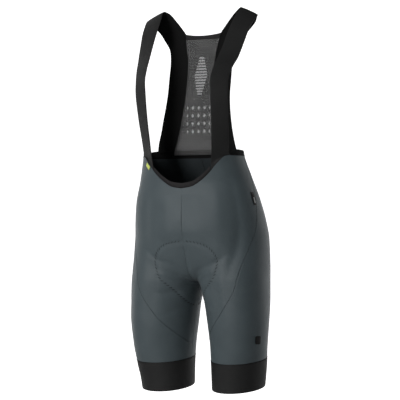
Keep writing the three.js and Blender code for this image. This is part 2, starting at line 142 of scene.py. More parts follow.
def value_at(tab, key, name, place):
    """Smooth curve through one column, straight beyond its ends."""
    x, y, place = tab[key], tab[name], np.asarray(place, float)
    if x[-1] < x[0]:
        x, place = -x, -place
    slope = np.diff(y) / np.diff(x)
    before, after = slope[:-1], slope[1:]
    total = np.where(before + after == 0, 1, before + after)
    inner = np.where(before * after > 0, 2 * before * after / total, 0)
    tangent = np.concatenate([slope[:1], inner, slope[-1:]])
    i = np.clip(np.searchsorted(x, place, side="right") - 1, 0, len(x) - 2)
    step = x[i + 1] - x[i]
    t = (place - x[i]) / step
    t2, t3 = t * t, t * t * t
    curve = (
        (2 * t3 - 3 * t2 + 1) * y[i] + (t3 - 2 * t2 + t) * step * tangent[i]
        + (3 * t2 - 2 * t3) * y[i + 1] + (t3 - t2) * step * tangent[i + 1]
    )
    return np.where((t < 0) | (t > 1), y[i] + slope[i] * step * t, curve)


def at_height(tab, name, z):
    return value_at(tab, "z", name, z)


def top_edge(turn):
    return value_at(TOP_EDGE, "turn", "z", np.abs(turn))


def side_seam(z):
    return np.maximum(0, at_height(SIDE_SEAM, "turn", z))


def smoothstep(value, low, high):
    t = np.clip((np.asarray(value, float) - low) / (high - low), 0, 1)
    return t * t * (3 - 2 * t)


print("hips measure about", round(2 * math.pi * math.sqrt((172.5**2 + 104.5**2) / 2)), "mm round")

# %% Points and outward directions of the body
def body_point(turn, z):
    """Left half. turn is 0 at centre front and 1 at centre back, or once round the leg from its inseam."""
    turn, z = np.broadcast_arrays(np.asarray(turn, float), np.asarray(z, float))
    hip_angle = turn * np.pi
    faces_front = np.cos(hip_angle) > 0
    square = np.where(faces_front, at_height(TORSO, "square", z), 2.0)
    reach = (1 - np.minimum(np.abs(np.sin(hip_angle)), 1) ** square) ** (1 / square)
    depth = np.where(faces_front, -at_height(TORSO, "front", z), at_height(TORSO, "back", z))
    hip_x = at_height(TORSO, "half_width", z) * np.sin(hip_angle)
    hip_y = at_height(TORSO, "centre_y", z) + depth * reach
    radius, lean = at_height(LEG, "radius", z), at_height(LEG, "lean", z)
    leg_angle = turn * 2 * np.pi - np.pi / 2
    centre_x = at_height(LEG, "centre_x", z)
    near_inseam = ((1 - np.sin(leg_angle)) / 2) ** 3
    leg_x = centre_x + radius * np.sin(leg_angle) - lean * np.cos(leg_angle)
    leg_x = leg_x + near_inseam * (at_height(LEG, "inseam", z) - centre_x + radius)
    leg_y = at_height(LEG, "centre_y", z) - radius * np.cos(leg_angle) + lean * (1 + np.sin(leg_angle)) / 2
    centre = np.where(faces_front, at_height(CLOSING, "front", z), at_height(CLOSING, "back", z))
    side = at_height(CLOSING, "side", z)
    share = side + (centre - side) * (np.cos(hip_angle) ** 2) ** at_height(CLOSING, "narrow", z)
    share = np.where(z >= WARP_TOP_Z, 1.0, np.where(z <= CROTCH_Z, 0.0, share))
    return np.stack([leg_x + (hip_x - leg_x) * share, leg_y + (hip_y - leg_y) * share, z], -1)


def unit(vectors):
    return vectors / np.maximum(np.linalg.norm(vectors, axis=-1, keepdims=True), 1e-9)


def body_normal(turn, z):
    du, dz = 0.002, 0.6
    along = body_point(turn + du, z) - body_point(turn - du, z)
    up = body_point(turn, z + dz) - body_point(turn, z - dz)
    normal = np.cross(along, up)
    on_centre = np.minimum(np.abs(turn), np.abs(turn - 1)) < 0.001
    normal[..., 0] = np.where((z > CROTCH_Z - 1) & on_centre, 0, normal[..., 0])
    return unit(normal)


def girth(z):
    return np.where(z < CROTCH_Z, 2 * np.pi * at_height(LEG, "radius", z), HALF_GIRTH)


print("side of the hip at", body_point(0.5, -545).round(1), "mm")

# %% [markdown]
# Creases
#
# Stretch cloth on a full form has few folds: long soft shadows down the thigh, short pulls that leave the
# crotch, and a fold under the seat. A simulation would shake this tight cloth smooth, so each crease is
# given as a path in the cloth with a width and a depth, positive for a ridge. Their lengths and
# depths are uneven on purpose, and the two sides differ.

# %% Creases
CREASES = [
    # side, width, depth, path of (turn, z)
    ("left", 15, -2.9, [(0.285, -395), (0.290, -470), (0.283, -560), (0.278, -640), (0.262, -700)]),
    ("left", 18, 2.0, [(0.185, -410), (0.180, -500), (0.186, -580)]),
    ("left", 22, -1.8, [(0.055, -440), (0.045, -500), (0.060, -545)]),
    ("right", 19, 2.1, [(0.085, -440), (0.075, -500), (0.095, -548)]),
    ("right", 17, -1.9, [(0.21, -400), (0.22, -480), (0.215, -560), (0.23, -620)]),
    ("right", 12, 0.8, [(0.31, -380), (0.32, -470), (0.30, -540)]),
    ("left", 8, -1.6, [(0.030, -628), (0.100, -612), (0.190, -598), (0.250, -574)]),
    ("right", 8, -1.7, [(0.020, -625), (0.090, -606), (0.180, -590), (0.262, -560)]),
    ("left", 6, 1.3, [(0.040, -634), (0.130, -630), (0.215, -618)]),
    ("right", 6, 1.3, [(0.050, -634), (0.120, -634), (0.230, -622)]),
    ("left", 15, 2.3, [(0.125, -600), (0.135, -650), (0.155, -700), (0.175, -750)]),
    ("left", 10, -1.5, [(0.215, -560), (0.222, -620), (0.215, -690), (0.225, -760)]),
    ("right", 14, -1.7, [(0.225, -590), (0.240, -680), (0.236, -770)]),
    ("right", 9, -1.8, [(0.060, -655), (0.130, -668), (0.235, -672)]),
    ("right", 8, -0.8, [(0.050, -690), (0.120, -712), (0.200, -722)]),
    ("left", 7, -1.4, [(0.055, -668), (0.110, -700), (0.140, -742)]),
    ("left", 14, -1.0, [(0.40, -640), (0.41, -720), (0.39, -800)]),
    ("right", 14, -0.9, [(0.36, -610), (0.38, -690), (0.37, -780)]),
    ("left", 12, -0.9, [(0.52, -380), (0.545, -450), (0.55, -520)]),
    ("right", 12, -0.8, [(0.53, -372), (0.56, -440), (0.56, -500)]),
    ("left", 13, -2.4, [(0.965, -640), (0.900, -652), (0.800, -648), (0.700, -630)]),
    ("right", 13, -2.6, [(0.970, -638), (0.895, -655), (0.790, -654), (0.690, -634)]),
    ("left", 8, -1.0, [(0.930, -668), (0.850, -682), (0.760, -680)]),
    ("right", 7, -0.9, [(0.925, -672), (0.840, -690), (0.780, -692)]),
    ("left", 9, -1.1, [(0.900, -380), (0.860, -412), (0.800, -430)]),
    ("right", 9, -1.0, [(0.930, -372), (0.880, -402), (0.830, -418)]),
    ("left", 12, -1.1, [(0.700, -720), (0.740, -765), (0.720, -812)]),
    ("right", 12, -1.2, [(0.760, -700), (0.730, -752), (0.750, -806)]),
    ("right", 7, 0.7, [(0.620, -690), (0.660, -730), (0.650, -770)]),
]
PAD_OUTLINE = [
    (0.000, -549), (0.040, -549), (0.090, -554), (0.135, -563), (0.175, -579), (0.200, -597),
    (0.209, -620), (0.203, -638), (0.170, -652), (0.130, -668), (0.091, -684), (0.045, -697), (0.000, -701),
]
PAD_BACK_OUTLINE = [
    (1.000, -701), (0.955, -694), (0.910, -676), (0.860, -650), (0.815, -618), (0.795, -586),
    (0.805, -560), (0.850, -538), (0.920, -527), (1.000, -524),
]


def cloth_place(turn, z):
    """Places in the cloth, in millimetres, so that widths are true."""
    return np.stack(np.broadcast_arrays(np.asarray(turn, float) * HALF_GIRTH, z), -1)


def line_through(points, steps):
    """Centripetal Catmull-Rom curve through the points, with even steps between them."""
    points = np.asarray(points, float)
    ends = [2 * points[0] - points[1]], [2 * points[-1] - points[-2]]
    full = np.concatenate([ends[0], points, ends[1]])
    place = np.asarray(steps, float) * (len(points) - 1)
    i = np.clip(place.astype(int), 0, len(points) - 2)
    w = (place - i)[:, None]
    p0, p1, p2, p3 = full[i], full[i + 1], full[i + 2], full[i + 3]
    d0, d1, d2 = [np.maximum(np.linalg.norm(b - a, axis=1, keepdims=True) ** 0.5, 1e-4)
                  for a, b in ((p0, p1), (p1, p2), (p2, p3))]
    t1 = ((p1 - p0) / d0 - (p2 - p0) / (d0 + d1) + (p2 - p1) / d1) * d1
    t2 = ((p2 - p1) / d1 - (p3 - p1) / (d1 + d2) + (p3 - p2) / d2) * d1
    return p1 + t1 * w + (3 * (p2 - p1) - 2 * t1 - t2) * w**2 + (2 * (p1 - p2) + t1 + t2) * w**3


def distance_along(places, path):
    """Distance from each place to a path, and how far along the path the nearest point is, 0 to 1."""
    nearest = np.full(places.shape[:-1], 1e9)
    along = np.zeros(places.shape[:-1])
    lengths = np.linalg.norm(np.diff(path, axis=0), axis=1)
    run = np.concatenate([[0], np.cumsum(lengths)])
    for a, b, start, length in zip(path[:-1], path[1:], run[:-1], lengths):
        share = np.clip(((places - a) @ (b - a)) / length**2, 0, 1)
        gap = np.linalg.norm(places - a - share[..., None] * (b - a), axis=-1)
        closer = gap < nearest
        nearest = np.where(closer, gap, nearest)
        along = np.where(closer, (start + share * length) / run[-1], along)
    return nearest, along


def relief(turn, z, side):
    """How far the creases lift or sink the cloth, in millimetres. Each fades out towards its ends."""
    places = cloth_place(turn, z)
    height = np.zeros(places.shape[:-1])
    for crease_side, width, depth, path in CREASES:
        if crease_side != side:
            continue
        bends = cloth_place(*np.array(path).T)
        gap, along = distance_along(places, line_through(bends, np.linspace(0, 1, 25)))
        strength = np.sin(np.pi * np.clip(along, 0, 1)) ** 0.7 * (1 + 0.25 * np.sin(9 * along + width))
        height += depth * strength * np.exp(-((gap / width) ** 2))
    return height


print("creases:", len(CREASES))

# %% [markdown]
# The seat pad shows through
#
# A foam pad is sewn inside. From outside it shows only as a slight rise inside a zigzag line. The rise is
# under two millimetres and fades towards the line, where the thread pulls the cloth in.

# %% Rise over the pad
PAD_RISE = 1.4
PAD_SLOPE = 12
PAD_GROOVE = 0.3
PAD_GROOVE_WIDTH = 1.8


def pad_path(points, count=120):
    return line_through(cloth_place(*np.array(points).T), np.linspace(0, 1, count))


def pad_relief(turn, z):
    places = cloth_place(turn, z)
    height = np.zeros(places.shape[:-1])
    for outline, centre in ((PAD_OUTLINE, 0.0), (PAD_BACK_OUTLINE, 1.0)):
        path = pad_path(outline)
        gap, _ = distance_along(places, path)
        upwards = path[np.argsort(path[:, 1])]
        edge = np.interp(places[..., 1], upwards[:, 1], upwards[:, 0])
        between = (places[..., 1] > upwards[0, 1]) & (places[..., 1] < upwards[-1, 1])
        middle = centre * HALF_GIRTH
        inside = between & (np.abs(places[..., 0] - middle) < np.abs(edge - middle))
        height += np.where(inside, PAD_RISE * smoothstep(gap, 0, PAD_SLOPE), 0)
        height -= PAD_GROOVE * np.exp(-((gap / PAD_GROOVE_WIDTH) ** 2))
    return height


pad_steps = np.linalg.norm(np.diff(pad_path(PAD_OUTLINE), axis=0), axis=1)
print("pad line in front:", round(float(pad_steps.sum())), "mm a side")

# %% [markdown]
# Thin shells
#
# A real panel has two faces and a cut edge. Each piece is made as a grid of points on its outer face and
# the same grid moved inwards, joined round the rim, which gives a closed mesh with true thickness. Texture
# coordinates are the cloth's own millimetres, so a knit runs with the piece.

# %% Closed shells from a grid
SHARP_EDGE = math.radians(50)


def mesh_object(name, points, faces, materials, face_material=None, uv=None):
    mesh = bpy.data.meshes.new(name)
    mesh.from_pydata((np.asarray(points) * MM).tolist(), [], [list(map(int, f)) for f in faces])
    for material in materials:
        mesh.materials.append(material)
    if face_material is not None:
        mesh.polygons.foreach_set("material_index", np.asarray(face_material, np.int32))
    if uv is not None:
        corners = np.zeros(len(mesh.loops), np.int32)
        mesh.loops.foreach_get("vertex_index", corners)
        layer = mesh.uv_layers.new(name="cloth")
        layer.data.foreach_set("uv", (np.asarray(uv)[corners] * MM).ravel())
    mesh.polygons.foreach_set("use_smooth", [True] * len(mesh.polygons))
    mesh.validate()
    edit = bmesh.new()
    edit.from_mesh(mesh)
    bmesh.ops.recalc_face_normals(edit, faces=edit.faces)
    edit.to_mesh(mesh)
    edit.free()
    piece = bpy.data.objects.new(name, mesh)
    bpy.context.scene.collection.objects.link(piece)
    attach(piece, "root")
    return piece


def shell(name, outer, inner, uv, materials, closed=False):
    """outer and inner are (rows, columns, 3) grids. The second material is the inside face."""
    rows, columns = outer.shape[:2]
    points = np.concatenate([outer.reshape(-1, 3), inner.reshape(-1, 3)])
    index = np.arange(rows * columns).reshape(rows, columns)
    if closed:
        index = np.concatenate([index, index[:, :1]], 1)
    a, b, c, d = index[:-1, :-1], index[1:, :-1], index[1:, 1:], index[:-1, 1:]
    face = np.stack([a, b, c, d], -1).reshape(-1, 4)
    back = face[:, ::-1] + rows * columns
    rims = [index[0, ::-1], index[-1, :]]
    if not closed:
        rims += [index[:, 0], index[::-1, -1]]
    turned = rows * columns
    strips = [np.stack([rim[:-1], rim[1:], rim[1:] + turned, rim[:-1] + turned], -1) for rim in rims]
    rim_faces = np.concatenate(strips)
    faces = np.concatenate([face, back, rim_faces])
    inside = min(1, len(materials) - 1)
    kinds = np.concatenate([np.zeros(len(face)), np.full(len(back), inside), np.zeros(len(rim_faces))])
    piece = mesh_object(name, points, faces, materials, kinds, np.concatenate([uv.reshape(-1, 2)] * 2))
    piece.data.set_sharp_from_angle(angle=SHARP_EDGE)
    return piece


def mirrored(points):
    return points * np.array([-1, 1, 1])


print("shells ready")

# %% [markdown]
# Colours and a way to write materials
#
# Colours are written as in any paint chart, as sRGB hex, and turned to linear light by one function. One
# small function adds a node, sets it and links it.

# %% Colour and node helpers
def linear(hex_colour):
    parts = [int(hex_colour[i:i + 2], 16) / 255 for i in (1, 3, 5)]
    return [v / 12.92 if v <= 0.04045 else ((v + 0.055) / 1.055) ** 2.4 for v in parts] + [1.0]


def add(material, kind, links=(), values=None, **settings):
    """A node: links are (input, node, output), values are {input: constant}, settings its own options."""
    tree = material.node_tree
    node = tree.nodes.new(kind)
    for key, setting in settings.items():
        setattr(node, key, setting)
    for into, value in (values or {}).items():
        node.inputs[into].default_value = value
    for into, source, out in links:
        tree.links.new(source.outputs[out], node.inputs[into])
    return node


def new_material(name, colour, roughness, specular=0.35, sheen=0.0, sheen_roughness=0.4):
    material = bpy.data.materials.new(name)
    material.use_nodes = True
    shader = material.node_tree.nodes["Principled BSDF"]
    shader.inputs["Base Color"].default_value = linear(colour)
    shader.inputs["Roughness"].default_value = roughness
    shader.inputs["Specular IOR Level"].default_value = specular
    shader.inputs["Sheen Weight"].default_value = sheen
    shader.inputs["Sheen Roughness"].default_value = sheen_roughness
    return material, shader


def plug(material, source, out, shader, into):
    material.node_tree.links.new(source.outputs[out], shader.inputs[into])


print("grey knit in linear light:", [round(v, 3) for v in linear("#50585b")[:3]])

# %% [markdown]
# Nylon and elastane warp knit
#
# The panels are a fine warp knit of bright nylon round an elastane core. Its columns of loops are under
# half a millimetre wide and give a silky face with a soft sheen. They are drawn 1.2 mm wide here so that
# they can show, as bumps and as painted shade in the colour, with a faint unevenness of the dye.

# %% Knit, woven elastic and mesh materials
def cloth_material(name, light, dark, roughness, rib, course, bump, specular=0.35, sheen=0.0, cloud=0.35):
    """rib and course are the widths in millimetres of the columns and rows of the cloth."""
    material, shader = new_material(name, light, roughness, specular, sheen)
    place = add(material, "ShaderNodeUVMap", uv_map="cloth")
    split = add(material, "ShaderNodeSeparateXYZ", [("Vector", place, "UV")])
    waves = []
    for axis, width in (("X", rib), ("Y", course)):
        per_metre = 2 * math.pi / (width * MM)
        turns = add(material, "ShaderNodeMath", [(0, split, axis)], {1: per_metre}, operation="MULTIPLY")
        waves.append(add(material, "ShaderNodeMath", [(0, turns, 0)], operation="SINE"))
    loops = add(material, "ShaderNodeMath", [(0, waves[0], 0), (1, waves[1], 0)], operation="ADD")
    dye = add(material, "ShaderNodeTexNoise", [("Vector", place, "UV")], {"Scale": 28, "Detail": 4})
    grain = add(material, "ShaderNodeTexNoise", [("Vector", place, "UV")], {"Scale": 900, "Detail": 2})
    # The loops also set the colour: their tops are painted lighter and the gaps between them darker, a
    # painted shade of the knit's relief. The grain and the dye cloud are the cloth's own uneven tone.
    level = add(material, "ShaderNodeMath", [(0, loops, 0)], {1: 0.12}, operation="MULTIPLY")
    level = add(material, "ShaderNodeMath", [(0, level, 0), (1, grain, "Fac")], operation="ADD")
    spread = add(material, "ShaderNodeMath", [(0, dye, "Fac")], {1: cloud}, operation="MULTIPLY")
    level = add(material, "ShaderNodeMath", [(0, level, 0), (1, spread, 0)], operation="ADD")
    ramp = add(material, "ShaderNodeValToRGB", [("Fac", level, 0)])
    ramp.color_ramp.elements[0].color = linear(dark)
    ramp.color_ramp.elements[0].position = 0.3
    ramp.color_ramp.elements[1].color = linear(light)
    ramp.color_ramp.elements[1].position = 0.95
    plug(material, ramp, "Color", shader, "Base Color")
    tooth = add(material, "ShaderNodeMath", [(0, loops, 0), (1, grain, "Fac")], operation="ADD")
    raised = add(material, "ShaderNodeBump", [("Height", tooth, 0)], {"Strength": bump, "Distance": 0.0002})
    plug(material, raised, "Normal", shader, "Normal")
    return material


warp_knit = cloth_material("nylon elastane warp knit", "#556064", "#444e52", 0.5, 1.2, 1.6, 0.22, 0.4, 0.08)
# The inside face of the panels is the same knit, painted darker than it is: a painted shade of the
# garment's inside. Its higher roughness is the knit's matte back.
knit_inside_painted_shade = cloth_material("inside of the knit with painted shade", "#363c3f", "#24282a", 0.85, 1.4, 1.8, 0.3, 0.2)
gripper_cloth = cloth_material("woven gripper elastic", "#262626", "#1c1c1c", 0.6, 2.2, 1.1, 0.4, 0.3)
strap_cloth = cloth_material("raw cut stretch knit", "#252525", "#1a1a1a", 0.62, 1.1, 2.4, 0.3, 0.3)
# The inside face of the straps, grippers, front binding and waistband is painted darker than their outside,
# as painted shade.
black_inside_painted_shade = cloth_material("inside of the black pieces with painted shade", "#121212", "#0b0b0b", 0.85, 1.1, 2.4, 0.3, 0.15)
binding_cloth = cloth_material("folded elastic binding", "#232122", "#171516", 0.55, 1.0, 1.0, 0.35, 0.25)
band_cloth = cloth_material("ribbed waist elastic", "#191b1c", "#111313", 0.7, 1.4, 1.0, 0.4, 0.1)
thread_dark = cloth_material("dark polyester thread", "#343b3e", "#272d2f", 0.5, 0.4, 0.4, 0.2, 0.4)
thread_grey = cloth_material("grey polyester thread", "#495255", "#3c4447", 0.5, 0.4, 0.4, 0.2, 0.4)
thread_black = cloth_material("black polyester thread", "#151515", "#0b0b0b", 0.5, 0.4, 0.4, 0.2, 0.4)
tab_cloth = cloth_material("yellow woven tape", "#f2fd96", "#dbe86a", 0.55, 0.7, 0.7, 0.35, 0.3, cloud=0.1)
label_cloth = cloth_material("black satin tape", "#0e0e0e", "#070707", 0.45, 0.5, 0.5, 0.2, 0.25)
# The pale tape below is a painted glint for the black satin label.
label_glint_paint = cloth_material("painted glint on the satin label", "#d9dbdb", "#b9bcbc", 0.6, 0.5, 0.5, 0.2, 0.3)
patch_film = cloth_material("black transfer film", "#0e0e0e", "#080808", 0.4, 0.8, 0.8, 0.05, 0.3)
print("materials:", len(bpy.data.materials))

# %% [markdown]
# The four panels
#
# Each front panel runs from the centre seam to the side seam, and each side and back panel from the side
# seam to the centre back. A seam is a flat one, with the two raw edges side by side under a row of thread,
# so the cloth dips a little at it and stands up beside it. The rows of points fan out from the upper edge,
# and the columns lie closer together beside the seams, where the form is finest.

# %% Panels
FABRIC_WALL = 0.9
SEAM_HALF_GAP = 0.06
SEAM_DIP = 0.3
SEAM_LIP = 0.14
CENTRE_FRONT_STRENGTH = 0.3
SEAM_DIP_WIDTH = 1.1
SEAM_LIP_WIDTH = 1.2
SEAM_LIP_AWAY = 2.6
CALM_EDGE = 14
KNIT_FACES = [warp_knit, knit_inside_painted_shade]


def gap_turn(z):
    return SEAM_HALF_GAP / girth(z)


def hem_tilt(turn):
    radius = float(at_height(LEG, "radius", HEM_Z))
    return HEM_TILT * -radius * np.cos(turn * 2 * np.pi - np.pi / 2)


def gripper_top(turn):
    return GRIPPER_TOP_Z + hem_tilt(turn)


def close_at_ends(count, first=0.012):
    """Shares from 0 to 1 with finer steps at both ends."""
    fine = np.array([0, 0.25, 0.5, 0.8, 1.2, 1.7, 2.4]) * first
    middle = np.linspace(fine[-1], 1 - fine[-1], count)
    return np.concatenate([fine[:-1], middle, 1 - fine[-2::-1]])


UPPER_SHARES = np.linspace(0, 1, 56)
MIDDLE_HEIGHTS = np.concatenate([
    np.arange(-503, -610, -3), np.arange(-610, -634, -2), np.arange(-634, -652, -1.0),
    np.arange(-652, -684, -2), np.arange(-684, -792, -3), [-792.8],
])
LOWER_SHARES = np.linspace(0, 1, 16)[1:]


def row_height(row, turn):
    if row < len(UPPER_SHARES):
        return top_edge(turn) + (WARP_TOP_Z - top_edge(turn)) * UPPER_SHARES[row]
    row -= len(UPPER_SHARES)
    if row < len(MIDDLE_HEIGHTS):
        return np.full_like(turn, MIDDLE_HEIGHTS[row])
    share = LOWER_SHARES[row - len(MIDDLE_HEIGHTS)]
    return MIDDLE_HEIGHTS[-1] + (gripper_top(turn) + 0.15 - MIDDLE_HEIGHTS[-1]) * share


def panel_places(start_at, end_at, shares, row_count):
    turns, heights = [], []
    for row in range(row_count):
        turn = np.full(len(shares), 0.5)
        z = row_height(row, turn)
        for _ in range(5):
            turn = start_at(z) + (end_at(z) - start_at(z)) * shares
            z = row_height(row, turn)
        turns.append(turn)
        heights.append(z)
    return np.array(turns), np.array(heights)


def seam_relief(turn, z):
    """The dip of a flat seam and the slight lip on each side of it. The centre front seam hardly shows."""
    height = np.zeros_like(z)
    for seam_turn, strength in ((side_seam(z), 1), (0, CENTRE_FRONT_STRENGTH), (1, 1)):
        gap = np.abs(turn - seam_turn) * girth(z)
        lip = SEAM_LIP * np.exp(-(((gap - SEAM_LIP_AWAY) / SEAM_LIP_WIDTH) ** 2))
        height += strength * (lip - SEAM_DIP * np.exp(-((gap / SEAM_DIP_WIDTH) ** 2)))
    return height


def body_grid(turn, z, offset, side, with_relief=True):
    """Points off the body's form. Creases fade out within CALM_EDGE of the upper edge, which is bound."""
    normal = body_normal(turn, z)
    height = np.zeros_like(z) + offset
    if with_relief:
        fade = smoothstep(np.abs(z - top_edge(turn)), 0, CALM_EDGE)
        height = height + (relief(turn, z, side) + pad_relief(turn, z)) * fade
        height = height + seam_relief(turn, z)
    points = body_point(turn, z) + normal * height[..., None]
    on_centre = (z > CROTCH_Z - 1) & ((turn < 0.02) | (turn > 0.98))
    points[..., 0] = np.where(on_centre, np.maximum(points[..., 0], SEAM_HALF_GAP), points[..., 0])
    return points if side == "left" else mirrored(points)


def panel(name, turn, z, side):
    outer, inner = [body_grid(turn, z, offset, side) for offset in (0, -FABRIC_WALL)]
    return shell(name, outer, inner, cloth_place(turn, z), KNIT_FACES)


def seam_tape(name, turn_at, top, low, width, material):
    """A flat tape over a seam on the inside of the cloth, on the centre plane."""
    z, place = np.meshgrid(np.linspace(top, low, 120), np.linspace(-0.5, 0.5, 7), indexing="ij")
    centre = body_point(np.full_like(z, turn_at), z)
    inwards = -body_normal(np.full_like(z, turn_at), z)
    centre[..., 0] = place * width
    faces = [centre + inwards * depth for depth in (FABRIC_WALL + 0.9, FABRIC_WALL + 0.3)]
    return shell(name, *faces, np.stack([centre[..., 0], z], -1), [material])


def cut_area(piece):
    """Area of one face of a shell, in square metres."""
    return sum(p.area for p in piece.data.polygons) / 2


panels = {}
front_rows = len(UPPER_SHARES) + len(MIDDLE_HEIGHTS)
all_rows = front_rows + len(LOWER_SHARES)
for side in ("left", "right"):
    turn, z = panel_places(gap_turn, lambda h: side_seam(h) - gap_turn(h), close_at_ends(58), front_rows)
    panels[f"front_panel_{side}"] = panel(f"front_cloth_{side}", turn, z, side)
    turn, z = panel_places(
        lambda h: side_seam(h) + gap_turn(h), lambda h: 1 - gap_turn(h), close_at_ends(96), all_rows)
    panels[f"side_back_panel_{side}"] = panel(f"side_back_cloth_{side}", turn, z, side)
back_tape = seam_tape("centre_back_seam_tape", 1.0, -352, -560, 6, knit_inside_painted_shade)
for node, piece in panels.items():
    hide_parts(node)
    print(piece.name, len(piece.data.polygons), "faces,", round(cut_area(piece), 4), "square metres")

# %% [markdown]
# Leg grippers
#
# A wide woven elastic with a grippy inside holds the leg end. It is cut straight and joined into a ring, so
# it lies smooth and carries only the faint ribs of its weave. It starts where the panels end.

# %% Grippers
GRIPPER_WALL = 1.4
GRIPPER_OUTSIDE = 0.3
GRIPPER_EDGE_ROLL = 0.5
GRIPPER_FACES = [gripper_cloth, black_inside_painted_shade]
gripper_turns = np.linspace(0, 1, 133)[:-1]
gripper_shares = np.concatenate([[0, 0.01, 0.03], np.linspace(0.06, 0.94, 22), [0.97, 0.99, 1]])
for side in ("left", "right"):
    turn = np.tile(gripper_turns, (len(gripper_shares), 1))
    top = gripper_top(turn) - 0.15
    z = top + (HEM_Z + hem_tilt(turn) - top) * gripper_shares[:, None]
    roll = GRIPPER_EDGE_ROLL * (np.exp(-gripper_shares * 60) + np.exp(-(1 - gripper_shares) * 60))[:, None]
    outer = body_grid(turn, z, GRIPPER_OUTSIDE - roll, side, with_relief=False)
    inner = body_grid(turn, z, GRIPPER_OUTSIDE - GRIPPER_WALL + 0.4 * roll, side, with_relief=False)
    piece = shell(f"gripper_cloth_{side}", outer, inner, cloth_place(turn, z), GRIPPER_FACES, closed=True)
    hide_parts(f"leg_gripper_{side}")
    print(piece.name, round(cut_area(piece), 4), "square metres")

# %% [markdown]
# Bindings and waistband
#
# The dip of the front is bound with a folded elastic that is gathered a little. The waistband is a flat
# ribbed elastic that runs round the sides and the back. Its lower edge laps the panels by a millimetre, so
# that no light shows through the seam.

# %% Front binding and waistband
STRAP_BASE_NECK = 0.183
STRAP_BASE_ARM = 0.339
STRAP_BASE_CLEARANCE = 0.7
BAND_BOTTOM_Z = -348.2
BAND_SIDE_TOP_Z = -334.6
BAND_BACK_TOP_Z = -329.4
BINDING_WALL = 1.8
BAND_WALL = 1.4


def both_halves(turn, z, offset):
    """Points for turns on either half: negative, or over 1, is the right one."""
    folded = np.where(turn < 0, -turn, np.where(turn > 1, 2 - turn, turn))
    points = body_point(folded, z) + body_normal(folded, z) * np.asarray(offset)[..., None]
    sign = np.where((turn < 0) | (turn > 1), -1, 1)
    points[..., 0] *= sign
    return points


def band(name, turn, z, outside, wall, materials):
    outer = both_halves(turn, z, outside)
    inner = both_halves(turn, z, outside - wall)
    return shell(name, outer, inner, cloth_place(turn, z), materials)


binding_end = 5 / 14 * float(side_seam(top_edge(0.5)))
binding_shares = np.linspace(1, 0, 15)
turn = np.tile(np.linspace(-binding_end, binding_end, 121), (len(binding_shares), 1))
height = 12 - 2 * np.abs(turn) / binding_end
z = top_edge(turn) + 0.4 + binding_shares[:, None] * height
fold = 0.9 * np.sin(np.pi * np.clip(binding_shares, 0.02, 0.98))[:, None] ** 0.5
gathers = 0.12 * np.sin(turn * 900) * np.sin(np.pi * binding_shares)[:, None]
puffed = -0.4 + fold + gathers
front_binding = band("front_binding_cloth", turn, z, puffed, BINDING_WALL, [binding_cloth, black_inside_painted_shade])
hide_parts("front_neck_binding")

band_start = STRAP_BASE_ARM + 0.004
band_shares = np.linspace(1, 0, 13)
turn = np.tile(np.linspace(band_start, 2 - band_start, 301), (len(band_shares), 1))
towards_back = smoothstep(1 - np.abs(1 - turn), 0.5, 0.75)
band_top = BAND_SIDE_TOP_Z + (BAND_BACK_TOP_Z - BAND_SIDE_TOP_Z) * towards_back
z = BAND_BOTTOM_Z + (band_top - BAND_BOTTOM_Z) * band_shares[:, None]
edge_roll = 0.35 * np.sin(np.pi * np.clip(band_shares, 0.02, 0.98))[:, None] ** 0.4
waistband = band("waistband_cloth", turn, z, -0.2 + edge_roll, BAND_WALL, [band_cloth, black_inside_painted_shade])
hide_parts("waistband")
for piece in (front_binding, waistband):
    print(piece.name, round(cut_area(piece), 5), "square metres")

# %% [markdown]
# Shoulder straps
#
# Each strap is one band of raw-cut stretch knit, laid from the front over the shoulder and down the back.
# Its two edges are smooth curves through stations measured from the photograph. The band arches slightly
# across its width, its edges curl a little, and it carries shallow pulls where it bends over the shoulder.
# Its lower end laps the waistband by a few millimetres, so that no light shows between them.

# %% Straps
STRAP_WALL = 1.3
STRAP_WIDTH = 45
STRAP_CROWN = 0.8
STRAP_CURL = 0.35
STRAP_ROWS = 340
STRAP_COLUMNS = 20
STRAP_FRONT = [
    # x, y, z, width, turn, roll
    (97, -96, -343, 43, 38, 0), (99, -100, -314, 42, 36, 0), (102.5, -110, -257, 41, 31, 0),
    (104.5, -118, -199, 41, 27, 0), (105.5, -117, -167, 43, 31, 0), (108.5, -105, -141, 45, 29, 1),
    (113, -86, -115, 47, 26, 4), (116, -71, -91.5, 46, 20, 7), (118, -57, -68, 46.5, 14, 12),
    (120.3, -42, -44.5, 47.5, 6, 16.5), (123.3, -23, -20.5, 49, 1, 21.5), (126.5, 0.5, 0, 50, 0, 25),
]
STRAP_BACK = [
    # neck edge x, y, z, arm edge x, y, z
    (91, 7.5, 4.5, 143, 8, -15.5), (76, 8, -11, 135.5, 15, -26),
    (57, 9, -34, 120, 16, -43), (46, 8.5, -50, 105, 10.5, -62),
]
STRAP_ON_BACK = table("z neck_x arm_x", [
    (-86, 38, 86.5), (-113, 33.5, 83.3), (-156, 32, 83.5), (-199, 33, 84), (-230, 36.5, 87),
    (-257, 41, 91), (-285, 46.5, 95.6), (-314, 54.5, 102), (-329, 60, 105), (-335, 62, 106.5),
])
UPPER_BACK = table("z depth curve", [
    (-40, 7, 0.0002), (-60, 4, 0.0002), (-117, 0, 0.0003), (-199, -13, 0.0006),
    (-257, -17.5, 0.001), (-314, -16, 0.0012), (-329, -14, 0.0011), (-345, -9, 0.001),
])
STRAP_WRINKLES = [
    # place along the strap, slant, length along it, depth
    (0.045, 0.25, 0.012, -0.5), (0.08, -0.3, 0.014, 0.45), (0.41, 0.2, 0.011, -0.6),
    (0.47, -0.15, 0.013, 0.6), (0.53, 0.18, 0.010, -0.7), (0.58, -0.25, 0.012, 0.55),
    (0.93, 0.2, 0.012, -0.5), (0.965, -0.2, 0.010, 0.4),
]


def upper_back_y(x, z):
    return at_height(UPPER_BACK, "depth", z) - at_height(UPPER_BACK, "curve", z) * x * x


def strap_base(turn):
    return body_point(turn, top_edge(turn) + STRAP_BASE_CLEARANCE)


